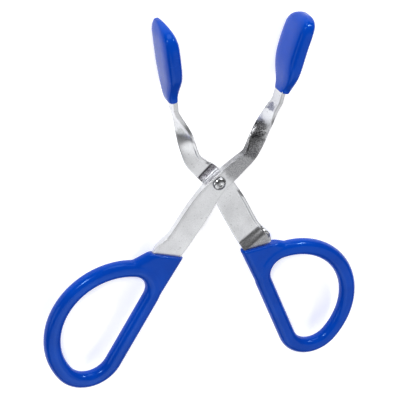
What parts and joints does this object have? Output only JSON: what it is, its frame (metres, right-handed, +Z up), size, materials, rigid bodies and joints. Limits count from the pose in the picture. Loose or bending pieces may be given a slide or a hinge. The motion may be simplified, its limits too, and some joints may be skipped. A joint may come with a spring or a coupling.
{
  "type": "beaker tongs",
  "caption": "Scissor-action laboratory tongs with finger rings, plated steel blades crossing at a rivet, and dipped vinyl coats on the handles and the two facing jaw pads.",
  "frame": {"origin": "middle of the footprint at bench level, with the tongs lying flat and open as stored; the rivet stands 13 mm towards the jaws from it", "axes": "+Y from the finger rings to the jaws, +X to the right-hand jaw, +Z up from the bench along the rivet"},
  "size_m": [0.1978, 0.2235, 0.023],
  "materials": {
    "plated_steel": "nickel plated sheet steel, slightly satin, with small marks",
    "rivet_steel": "polished rivet steel",
    "blue_vinyl": "glossy dipped vinyl"
  },
  "bodies": {
    "front_half": {"front_blade": "plated_steel", "pivot_rivet": "rivet_steel", "front_handle_coat": "blue_vinyl", "front_jaw_coat": "blue_vinyl"},
    "rear_half": {"rear_blade": "plated_steel", "rear_handle_coat": "blue_vinyl", "rear_jaw_coat": "blue_vinyl"}
  },
  "joints": [
    {"name": "pivot", "type": "hinge", "parent": "front_half", "child": "rear_half", "pos_m": [0, 0.013, 0.0115], "axis": [0, 0, 1], "range_deg": [-30, 22]}
  ]
}
